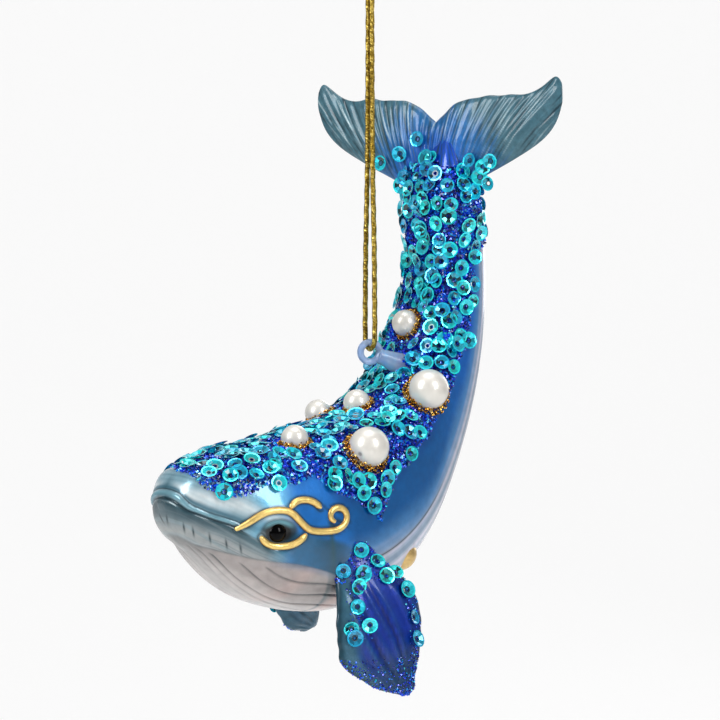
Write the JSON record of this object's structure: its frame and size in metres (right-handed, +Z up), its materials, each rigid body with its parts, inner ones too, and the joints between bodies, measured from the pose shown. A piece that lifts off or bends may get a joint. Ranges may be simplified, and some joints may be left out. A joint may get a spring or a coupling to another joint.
{
  "type": "whale ornament",
  "caption": "Hollow blown-glass whale diving head down with raised flukes, set with pearls, cup sequins and raised gold lines, hung by a glass ring on a looped metallic cord.",
  "frame": {"origin": "hanging point: the underside of the cord's knot, between the two strands", "axes": "+Z up along the hanging cord, -X towards the snout, -Y towards the whale's left side"},
  "size_m": [0.0955, 0.0624, 0.1741],
  "materials": {
    "glass_blue": "blown glass, lacquered deep blue on the back, silvered towards the belly",
    "glass_flukes": "blown glass, grey-teal lacquer with pale streaks",
    "glass_flippers": "blown glass, teal lacquer with pale edges",
    "glass_ring": "clear bluish glass, fire polished",
    "glass_eye": "opaque black glass, glossy",
    "pearl": "imitation pearl, soft lustre",
    "gold_grains": "gold-coloured grains set in lacquer",
    "gold_lacquer": "gold-coloured relief lacquer",
    "sequin": "turquoise metallised film, mirror gloss",
    "cut_bead": "cut glass beads and glitter, ultramarine",
    "cord": "braided metallic gold yarn"
  },
  "bodies": {
    "cord": {"hanging_cord": "cord", "cord_knot": "cord"},
    "whale": {"hanging_ring": "glass_ring", "glass_body": "glass_blue", "tail_flukes": "glass_flukes", "flipper_left": "glass_flippers", "flipper_right": "glass_flippers", "eye_left": "glass_eye", "eye_right": "glass_eye", "gold_eye_scroll_left": "gold_lacquer", "gold_eye_scroll_right": "gold_lacquer", "gold_brow_left": "gold_lacquer", "gold_brow_right": "gold_lacquer", "belly_seal": "gold_lacquer", "pearl_front_left": "pearl", "gold_collar_front_left": "gold_grains", "pearl_front_right": "pearl", "gold_collar_front_right": "gold_grains", "pearl_rear_left": "pearl", "gold_collar_rear_left": "gold_grains", "pearl_rear_right": "pearl", "gold_collar_rear_right": "gold_grains", "pearl_crown": "pearl", "gold_collar_crown": "gold_grains", "pearl_shoulder": "pearl", "gold_collar_shoulder": "gold_grains", "pearl_saddle": "pearl", "gold_collar_saddle": "gold_grains", "pearl_tail": "pearl", "gold_collar_tail": "gold_grains", "sequins_head": "sequin", "beads_head": "cut_bead", "sequins_shoulders": "sequin", "beads_shoulders": "cut_bead", "sequins_back": "sequin", "beads_back": "cut_bead", "sequins_tail": "sequin", "beads_tail": "cut_bead", "sequins_flukes": "sequin", "sequins_flipper_left": "sequin", "sequins_flipper_right": "sequin"}
  },
  "joints": [
    {"name": "ring_swing", "type": "hinge", "parent": "cord", "child": "whale", "pos_m": [0, 0, -0.088], "axis": [-0.3746, -0.9272, 0], "range_deg": [-90, 18]}
  ]
}
